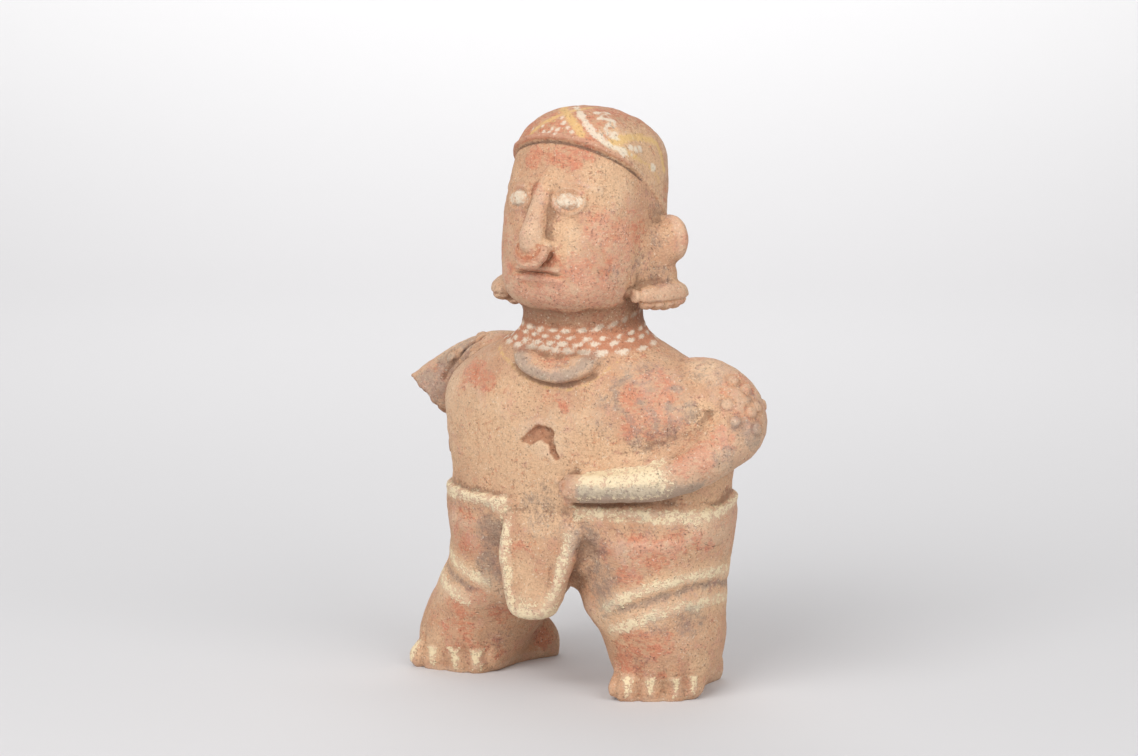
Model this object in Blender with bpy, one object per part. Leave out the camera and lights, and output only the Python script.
"""Standing man of fired clay, one hollow piece, with the right arm and the left hand broken off.

The figure faces -Y with its left side at +X, and stands on the floor at Z = 0. Every form is laid out
in millimetres of the figure at its real height, and MM turns one of those into metres.
"""

import math

import bmesh
import bpy
import numpy as np
from mathutils import Matrix, Vector
from mathutils.bvhtree import BVHTree

# Driving sizes, in metres
FIGURE_HEIGHT = 0.420
LAID_OUT_HEIGHT = 420.0
MM = FIGURE_HEIGHT / LAID_OUT_HEIGHT
CORE_GRAIN = 0.0026
DETAIL_GRAIN = 0.0017
SOLID_TRIANGLES = 9400

# Clay added on top of the body, in millimetres
CAP_RAISE = 2.2
CAP_BROW = 397.0
CAP_BROW_Y = -48.0
CAP_NAPE = 322.0
BELT_RAISE = 3.6
BELT_FRONT = 140.0
BELT_BACK = 146.0
PELLET_RADIUS = 4.2
EYE = (10.5, 6.5, 3.4)
TOE_GROOVE = 2.8
FLAP_DISH = 3.0
FOLD_RAISE = 1.8
MOUTH_DEPTH = 3.4
SCAR_DEPTH = 3.2

# The head: where its middle is, how far it leans back, and how high it is
HEAD_CENTRE = (0.0, -3.0, 343.0)
HEAD_TILT = math.radians(13.0)
HEAD_HEIGHT = 154.0

# Body stations: height, half width, half depth, middle in Y
TORSO = (
    (74, 78, 34, 2),
    (80, 95, 45, 1),
    (92, 106, 54, 0),
    (106, 112, 58, 0),
    (120, 114, 60, 0),
    (138, 112, 61, 0),
    (152, 112, 61, 0),
    (183, 117, 60, 0),
    (203, 119, 58, -1),
    (219, 112, 53, -2),
    (232, 97, 47, -4),
    (243, 77, 43, -6),
    (252, 58, 41, -8),
    (262, 44, 40, -9),
    (280, 42, 40, -9),
    (296, 42, 40, -8),
)
# Head stations in the head's own frame: height, half width, half depth, middle in Y
HEAD = (
    (-75, 20, 18, -20),
    (-70, 36, 32, -16),
    (-58, 47, 44, -10),
    (-38, 53, 52, -6),
    (-12, 54, 57, -4),
    (14, 52, 57, -4),
    (36, 50, 54, -4),
    (53, 44, 49, -2),
    (65, 32, 38, -1),
    (73, 16, 19, -1),
    (75, 4, 5, -1),
)
# Leg stations: height, middle in X and Y, half width, half depth
LEFT_LEG = (
    (9, 68, 2, 26, 32),
    (14, 67, 0, 34, 38),
    (22, 66, -1, 38, 40),
    (42, 64, 0, 43, 46),
    (62, 55, 0, 50, 52),
    (88, 55, 0, 52, 55),
    (118, 58, 0, 54, 58),
)
RIGHT_LEG = (
    (9, -90, -4, 26, 30),
    (14, -97, -6, 36, 38),
    (22, -98, -6, 41, 42),
    (42, -89, 0, 46, 47),
    (62, -75, 0, 49, 51),
    (88, -62, 0, 49, 53),
    (118, -59, 0, 52, 56),
)
# Foot stations: share of the way from heel to toes, half width, height
FOOT = (
    (-0.20, 8, 14),
    (-0.14, 13, 25),
    (0.0, 13, 32),
    (0.25, 13, 36),
    (0.45, 18, 36),
    (0.65, 26, 33),
    (0.82, 31, 29),
    (0.95, 32, 24),
    (1.08, 30, 19),
    (1.14, 26, 13),
)
# Each foot: heel, toes, how far its front turns, the gaps between the toes, and how far back they reach
FEET = {
    "left": ((71, 40), (73, -29), math.radians(26), (-26, -9.5, 8, 24), 10),
    "right": ((-71, 36), (-99, -35), math.radians(22), (-19.5, -0.5, 17, 31), 24),
}
# Arm stations along each arm: middle X, Y, Z and radius
LEFT_ARM = (
    (68, 2, 212, 26),
    (90, 4, 219, 25),
    (107, 4, 213, 26),
    (121, -2, 199, 24.5),
    (119, -20, 184, 18.5),
    (107, -41, 170, 14.5),
    (84, -56, 161, 12),
    (54, -64, 156.5, 11),
    (28, -67, 154, 10.5),
)
RIGHT_ARM = (
    (-58, 10, 226, 22),
    (-90, 12, 225, 22),
    (-118, 12, 215, 21),
    (-144, 10, 200, 20),
    (-166, 8, 184, 19),
)
ARM_BREAK_POINT = (-148, 8, 194)
ARM_BREAK_NORMAL = (-0.62, -0.35, -0.70)
# Flap stations: height, half width, front face in Y, middle in X
FLAP = (
    (54, 7, -66, -11),
    (57, 16, -68, -11),
    (66, 22, -70, -9),
    (82, 27, -71, -7),
    (102, 31, -71, -4),
    (120, 33, -67, 0),
    (136, 35, -60, 1),
    (146, 37, -54, 2),
)
FLAP_THICKNESS = 20.0
# The fold that runs from the wrap's rim into the flap's edge
FOLD = ((-62, -54, 137), (-48, -58, 136), (-36, -62, 129), (-31, -65, 117), (-31, -66, 96))
# Ear ornament rolls on each side: path points and radius
EAR_ROLLS = (
    ((51, -22, 287, 5), (58, -8, 286, 9), (64, 8, 286, 10), (64, 20, 287, 7)),
    ((52, -16, 282, 4), (58, -6, 282, 6), (60, 8, 282, 6), (58, 18, 283, 5)),
    ((-55, -28, 284, 5), (-65, -18, 284, 8), (-69, 2, 285, 10), (-66, 16, 287, 7)),
    ((-52, -20, 278, 4), (-59, -10, 278, 6), (-61, 6, 279, 6), (-58, 16, 280, 5)),
)
# Pellets: places beside each upper arm, which move to the nearest clay
PELLETS = (
    (130, -26, 221),
    (135, -21, 206),
    (150, -10, 217),
    (150, -7, 200),
    (140, 22, 214),
    (132, 30, 200),
    (-100, -20, 246),
    (-108, 16, 246),
    (-122, -14, 232),
    (-124, 24, 230),
)


def catmull_rom(rows, count):
    """Reads count rows from a smooth curve through the given rows."""
    table = np.array(rows, float)
    padded = np.vstack([2 * table[0] - table[1], table, 2 * table[-1] - table[-2]])
    made = []
    for place in np.linspace(0, len(table) - 1, count):
        start = min(int(place), len(table) - 2)
        t = place - start
        a, b, c, d = padded[start : start + 4]
        made.append(
            0.5 * (2 * b + (c - a) * t + (2 * a - 5 * b + 4 * c - d) * t**2 + (3 * b - a - 3 * c + d) * t**3)
        )
    return made


def ring(centre, side, front, power=2.3, points=40):
    """A closed superellipse: side and front are its half axes as vectors."""
    made = []
    for step in range(points):
        angle = 2 * math.pi * step / points
        c, s = math.cos(angle), math.sin(angle)
        across = math.copysign(abs(c) ** (2 / power), c)
        along = math.copysign(abs(s) ** (2 / power), s)
        made.append(centre + side * across + front * along)
    return made


def loft(rings):
    """A closed skin over rings that all have the same number of points."""
    bm = bmesh.new()
    loops = [[bm.verts.new(point) for point in points] for points in rings]
    for lower, upper in zip(loops, loops[1:]):
        for index in range(len(lower)):
            after = (index + 1) % len(lower)
            bm.faces.new((lower[index], lower[after], upper[after], upper[index]))
    bm.faces.new(loops[0])
    bm.faces.new(loops[-1])
    bmesh.ops.recalc_face_normals(bm, faces=bm.faces)
    return bm


def upright(rows, count=48, frame=None):
    """A loft over stations of height, half width, half depth and middle in Y."""
    frame = frame or Matrix.Identity(4)
    rings = []
    for z, half_width, half_depth, middle in catmull_rom(rows, count):
        side = Vector((max(half_width, 0.5), 0, 0))
        front = Vector((0, -max(half_depth, 0.5), 0))
        rings.append([frame @ point for point in ring(Vector((0, middle, z)), side, front)])
    return loft(rings)


def leg(rows):
    """A leg as a loft over stations of height, middle and half sizes."""
    rings = []
    for z, x, y, half_width, half_depth in catmull_rom(rows, 24):
        rings.append(ring(Vector((x, y, z)), Vector((half_width, 0, 0)), Vector((0, -half_depth, 0)), 2.1))
    return loft(rings)


def foot(heel, toes, slant):
    """A foot from heel to toes. Its sections turn by slant towards the toes, so its front runs askew."""
    heel, toes = Vector((*heel, 0)), Vector((*toes, 0))
    run = toes - heel
    across = Vector((-run.y, run.x, 0)).normalized()
    rings = []
    for share, half_width, height in catmull_rom(FOOT, 26):
        turned = Matrix.Rotation(slant * max(share, 0.0) ** 2, 3, "Z") @ across
        middle = heel + run * share + Vector((0, 0, height * 0.42))
        rings.append(ring(middle, turned * half_width, Vector((0, 0, height * 0.58)), 2.8))
    return loft(rings)


def sweep(rows, count=28, flat=1.0):
    """A round limb along stations of middle and radius. flat squeezes it in height."""
    stations = catmull_rom(rows, count)
    rings = []
    for index, (x, y, z, radius) in enumerate(stations):
        before, after = stations[max(index - 1, 0)], stations[min(index + 1, count - 1)]
        along = (Vector(after[:3]) - Vector(before[:3])).normalized()
        side = along.cross(Vector((0.05, 0.05, 1))).normalized()
        rings.append(ring(Vector((x, y, z)), side * radius, along.cross(side) * radius * flat, 2.0, 24))
    return loft(rings)


def ball(centre, radii, turn=None):
    """An ellipsoid with its own turn."""
    bm = bmesh.new()
    bmesh.ops.create_uvsphere(bm, u_segments=24, v_segments=16, radius=1.0)
    turn = turn or Matrix.Identity(4)
    placed = Matrix.Translation(Vector(centre)) @ turn.to_4x4() @ Matrix.Diagonal((*radii, 1))
    bmesh.ops.transform(bm, matrix=placed, verts=bm.verts)
    return bm


def turned_to(normal):
    """The turn that carries +Z to a surface's normal."""
    return Vector(normal).to_track_quat("Z", "Y").to_matrix()


def fused(name, shapes, grain, rounds):
    """Presses closed shapes, laid out in millimetres, into one skin and smooths the seams between them."""
    mesh = bpy.data.meshes.new(name)
    whole = bmesh.new()
    for shape in shapes:
        shape.to_mesh(mesh)
        shape.free()
        whole.from_mesh(mesh)
    whole.to_mesh(mesh)
    whole.free()
    obj = bpy.data.objects.new(name, mesh)
    bpy.context.scene.collection.objects.link(obj)
    skin = obj.modifiers.new("Skin", "REMESH")
    skin.mode = "VOXEL"
    skin.voxel_size = grain / MM
    soften = obj.modifiers.new("Soften", "SMOOTH")
    soften.factor = 0.5
    soften.iterations = rounds
    return settle(obj)


def settle(obj):
    """Makes an object's modifiers real."""
    graph = bpy.context.evaluated_depsgraph_get()
    made = bpy.data.meshes.new_from_object(obj.evaluated_get(graph))
    obj.modifiers.clear()
    obj.data = made
    return obj


def shape_of(obj):
    """The object's mesh as a bmesh, and the object gone."""
    bm = bmesh.new()
    bm.from_mesh(obj.data)
    bpy.data.objects.remove(obj)
    return bm


def surface_of(obj):
    """A tree that rays can be shot at."""
    bm = bmesh.new()
    bm.from_mesh(obj.data)
    tree = BVHTree.FromBMesh(bm)
    bm.free()
    return tree


def seat(tree, start, aim):
    """Where a ray from start along aim meets the clay, and the clay's normal there."""
    point, normal, _, _ = tree.ray_cast(Vector(start), Vector(aim).normalized())
    return point, normal


def head_frame():
    """The head's own frame: its middle, leaning back."""
    return Matrix.Translation(Vector(HEAD_CENTRE)) @ Matrix.Rotation(-HEAD_TILT, 4, "X")


def smooth_step(values, low, high):
    """0 below low, 1 above high, and smooth between."""
    t = np.clip((values - low) / (high - low), 0, 1)
    return t * t * (3 - 2 * t)


def cap_edge(x, y):
    """Height of the cap's edge over a place on the head: high on the brow, low behind the ears."""
    behind = y - CAP_BROW_Y
    return np.maximum(CAP_BROW - 0.36 * behind - 0.0045 * behind**2 - 0.003 * x**2, CAP_NAPE)


def belt_top(y):
    """Height of the wrap's upper edge, which is lower in front than behind."""
    return BELT_FRONT + (BELT_BACK - BELT_FRONT) * smooth_step(y, -22, 22)


def distance_to_line(points, line):
    """Distance of each point from a line through the given corners."""
    best = np.full(len(points), np.inf)
    for start, end in zip(line, line[1:]):
        start, run = np.array(start, float), np.array(end, float) - np.array(start, float)
        share = np.clip((points - start) @ run / (run @ run), 0, 1)
        best = np.minimum(best, np.linalg.norm(points - start - share[:, None] * run, axis=1))
    return best


def carve(obj, depth_of):
    """Moves each vertex along its normal by depth_of(points), in millimetres."""
    mesh = obj.data
    count = len(mesh.vertices)
    points = np.zeros(count * 3)
    normals = np.zeros(count * 3)
    mesh.vertices.foreach_get("co", points)
    mesh.vertices.foreach_get("normal", normals)
    points, normals = points.reshape(-1, 3), normals.reshape(-1, 3)
    moved = points + normals * depth_of(points)[:, None]
    mesh.vertices.foreach_set("co", moved.ravel())
    mesh.update()


def body_relief(points):
    """The cap's raised edge and the wrap's upper rim, as heights over the smooth body."""
    x, y, z = points.T
    cap = smooth_step(z - cap_edge(x, y), -1.2, 1.2) * (z > 300)
    below = belt_top(y) - z
    rim = smooth_step(below, -1.0, 2.5) * (1 - 0.8 * smooth_step(below, 10, 34))
    apron = np.exp(-(((x + 2) / 30) ** 4)) * (y < 0)
    return CAP_RAISE * cap + BELT_RAISE * rim * (1 - apron)


def core():
    """Torso, neck, head, legs and feet as one smooth body."""
    shapes = [upright(TORSO), upright(HEAD, frame=head_frame()), leg(LEFT_LEG), leg(RIGHT_LEG)]
    shapes += [foot(*line[:3]) for line in FEET.values()]
    body = fused("core", shapes, CORE_GRAIN, 14)
    carve(body, body_relief)
    return body


def right_arm():
    """The stump of the right arm, cut along its break."""
    bm = sweep(RIGHT_ARM)
    faces = bm.verts[:] + bm.edges[:] + bm.faces[:]
    cut = bmesh.ops.bisect_plane(
        bm, geom=faces, plane_co=ARM_BREAK_POINT, plane_no=ARM_BREAK_NORMAL, clear_outer=True
    )
    rim = [part for part in cut["geom_cut"] if isinstance(part, bmesh.types.BMEdge)]
    bmesh.ops.holes_fill(bm, edges=rim)
    bmesh.ops.recalc_face_normals(bm, faces=bm.faces)
    return bm


def flap():
    """The tongue of the loincloth, which hangs in front of the legs."""
    rings = []
    for z, half_width, front, x in catmull_rom(FLAP, 30):
        middle = Vector((x, front + FLAP_THICKNESS / 2, z))
        rings.append(ring(middle, Vector((half_width, 0, 0)), Vector((0, -FLAP_THICKNESS / 2, 0)), 2.6))
    return loft(rings)


def gorget(tree):
    """The crescent that hangs below the necklace: a fat roll on the chest, and a thinner fill above it."""
    made = []
    for drop, thick in ((17, 4.4), (10, 2.4)):
        rows = []
        for step in range(9):
            angle = math.pi * (step / 8 - 0.5)
            x, z = 2 + (drop + 21) * math.sin(angle), 248 - drop * math.cos(angle)
            point, normal = seat(tree, (x, -200, z), (0, 1, 0))
            radius = 2.5 + thick * math.cos(angle)
            rows.append((*(point - normal * radius * 0.2), radius))
        made.append(sweep(rows, 30))
    return made


def ears():
    """Both ears, each a flat lobe that stands out from the head, with a thick tip."""
    made = []
    for side in (1, -1):
        lean = Matrix.Rotation(math.radians(-16 * side), 3, "Z")
        made.append(ball((side * 60, 12, 325), (17, 8, 18), lean))
        made.append(ball((side * 56, 6, 300), (9, 14, 14), lean))
    return made


def ear_rolls():
    """The rolls of clay that stand for rows of ear rings."""
    return [sweep(rows, 16) for rows in EAR_ROLLS]


def pellets(tree):
    """The round pellets on both upper arms."""
    made = []
    for place in PELLETS:
        point, normal, _, _ = tree.find_nearest(Vector(place))
        made.append(ball(point, (PELLET_RADIUS, PELLET_RADIUS, PELLET_RADIUS * 0.6), turned_to(normal)))
    return made


def on_face(tree, x, z):
    """The clay's surface at a place on the face, in the head's own frame."""
    frame = head_frame()
    return seat(tree, frame @ Vector((x, -150, z)), frame.to_3x3() @ Vector((0, 1, 0)))


def eyes(tree):
    """Almond pellet eyes, half way up the head and one eye's width apart."""
    made = []
    for side in (-1, 1):
        point, normal = on_face(tree, side * EYE[0] * 2, 0)
        made.append(ball(point, EYE, turned_to(normal)))
    return made


def nose(tree):
    """A straight nose from the brow to a quarter of the head's height, with its two wings."""
    frame = head_frame()
    forward = frame.to_3x3() @ Vector((0, -1, 0))
    base = -HEAD_HEIGHT / 4
    rows = []
    steps = ((14, -5, 6), (2, -2, 7), (base + 22, 3, 8.5), (base + 9, 7, 9.5), (base + 2, 5, 8))
    for z, out, radius in steps:
        point, _ = on_face(tree, 0, z)
        rows.append((*(point + forward * out), radius))
    made = [sweep(rows, 20)]
    for side in (-1, 1):
        point, _ = on_face(tree, side * 9, base + 5)
        made.append(ball(point + forward * 3, (6, 7, 5.5)))
    return made


def nose_ring(tree):
    """The crescent ring that hangs from the nose."""
    frame = head_frame()
    forward = frame.to_3x3() @ Vector((0, -1, 0))
    middle, _ = on_face(tree, 0, -HEAD_HEIGHT / 4 + 2)
    rows = []
    for step in range(9):
        angle = math.radians(-200 + 220 * step / 8)
        across = Vector((11 * math.cos(angle), 0, 8 * math.sin(angle)))
        radius = 3.4 + 1.2 * math.sin(math.pi * step / 8)
        rows.append((*(middle + forward * 8 + frame.to_3x3() @ across), radius))
    return sweep(rows, 26)


def face_relief(points):
    """The slit of the mouth, a third of the way from the nose to the chin."""
    own = (points - np.array(HEAD_CENTRE)) @ np.array(Matrix.Rotation(-HEAD_TILT, 3, "X"))
    x, y, z = own.T
    height = -HEAD_HEIGHT / 4 - HEAD_HEIGHT / 12
    inside = np.sqrt((x / 19) ** 2 + ((z - height) / 3.6) ** 2)
    return -MOUTH_DEPTH * (1 - smooth_step(inside, 0.75, 1.15)) * (y < -20)


def toe_relief(points):
    """The grooves between the toes of both feet."""
    depth = np.zeros(len(points))
    for heel, toes, slant, gaps, reach in FEET.values():
        heel, toes = Vector((*heel, 0)), Vector((*toes, 0))
        run = (toes - heel).normalized()
        turn = Matrix.Rotation(slant, 3, "Z")
        out = points - np.array(toes)
        ahead = out @ np.array(turn @ run)
        across = out @ np.array(turn @ Vector((-run.y, run.x, 0)))
        low = (1 - smooth_step(points[:, 2], 26, 44)) * (np.abs(across) < 42)
        front = smooth_step(ahead, -reach, 4) * low
        for place in gaps:
            near = np.abs(across - place * (1 + 0.004 * ahead))
            depth = np.maximum(depth, front * (1 - smooth_step(near, 0.4, 4.4)))
    return -TOE_GROOVE * depth


def flap_relief(points):
    """The flap's face, dished between its edges, and the fold that runs into its edge."""
    x, y, z = points.T
    rows = np.array(catmull_rom(FLAP, 30))
    sideways = np.interp(z, rows[:, 0], rows[:, 1]) - np.abs(x - np.interp(z, rows[:, 0], rows[:, 3]))
    upwards = z - (FLAP[0][0] + 0.012 * (x - FLAP[0][3]) ** 2)
    edge = np.where((y < -52) & (z < 142), np.minimum(sideways, upwards), 0)
    dish = smooth_step(edge, 5, 12) * (1 - smooth_step(z, 96, 128))
    fold = np.exp(-((distance_to_line(points, FOLD) / 4.5) ** 2))
    return FOLD_RAISE * fold - FLAP_DISH * dish


def scar_relief(points):
    """The broken patch on the belly where something once joined."""
    x, y, z = points.T
    patch = np.hypot((x - 3) / 13, (z - 186) / 10)
    tail = distance_to_line(np.c_[x, z], ((11, 184), (17, 174))) / 5
    inside = 1 - smooth_step(np.minimum(patch, tail), 0.7, 1.1)
    return -SCAR_DEPTH * inside * (y < -30)


RELIEFS = (face_relief, toe_relief, flap_relief, scar_relief)


def stand_on_floor(obj):
    """Cuts the soles flat at the floor and closes them."""
    bm = bmesh.new()
    bm.from_mesh(obj.data)
    whole = bm.verts[:] + bm.edges[:] + bm.faces[:]
    cut = bmesh.ops.bisect_plane(bm, geom=whole, plane_co=(0, 0, 0), plane_no=(0, 0, -1), clear_outer=True)
    rim = [part for part in cut["geom_cut"] if isinstance(part, bmesh.types.BMEdge)]
    for part in cut["geom_cut"]:
        if isinstance(part, bmesh.types.BMVert):
            part.co.z = 0.0
    bmesh.ops.triangle_fill(bm, edges=rim, use_beauty=True, normal=(0, 0, -1))
    bmesh.ops.triangulate(bm, faces=[face for face in bm.faces if len(face.verts) > 3])
    bmesh.ops.recalc_face_normals(bm, faces=bm.faces)
    bm.to_mesh(obj.data)
    bm.free()


def thin_out(obj, triangles):
    """Leaves about this many triangles, more of them where the clay bends."""
    now = sum(len(face.vertices) - 2 for face in obj.data.polygons)
    fewer = obj.modifiers.new("Fewer", "DECIMATE")
    fewer.ratio = min(1.0, triangles / now)
    fewer.use_collapse_triangulate = True
    return settle(obj)


def centre_over_origin(obj):
    """Turns millimetres into metres, with the middle of the figure's box over the origin."""
    corners = np.array([vertex.co for vertex in obj.data.vertices])
    middle = (corners.min(axis=0) + corners.max(axis=0)) / 2
    place = Matrix.Scale(MM, 4) @ Matrix.Translation((-middle[0], -middle[1], 0))
    obj.data.transform(place)


def clay():
    """Low-fired red and buff clay, dry and matt."""
    material = bpy.data.materials.new("fired_clay")
    material.use_nodes = True
    shader = material.node_tree.nodes["Principled BSDF"]
    shader.inputs["Base Color"].default_value = (0.52, 0.31, 0.20, 1)
    shader.inputs["Roughness"].default_value = 0.82
    shader.inputs["Metallic"].default_value = 0.0
    return material


def figure():
    """The whole man, fused from his body and what is pressed onto it."""
    body = core()
    tree = surface_of(body)
    head_details = eyes(tree) + nose(tree) + [nose_ring(tree)] + ears() + ear_rolls()
    limbs = [sweep(LEFT_ARM, 40), right_arm(), flap()] + gorget(tree)
    whole = fused("with_limbs", [shape_of(body)] + limbs + head_details, DETAIL_GRAIN, 3)
    studs = pellets(surface_of(whole))
    made = fused("clay_figure", [shape_of(whole)] + studs, DETAIL_GRAIN, 2)
    carve(made, lambda points: sum(relief(points) for relief in RELIEFS))
    thin_out(made, SOLID_TRIANGLES)
    stand_on_floor(made)
    centre_over_origin(made)
    made.name = "clay_figure"
    made.data.materials.clear()
    made.data.materials.append(clay())
    made.data.shade_smooth()
    return made


def main():
    """Clears the scene and models the figure."""
    for obj in list(bpy.data.objects):
        bpy.data.objects.remove(obj)
    figure()


main()
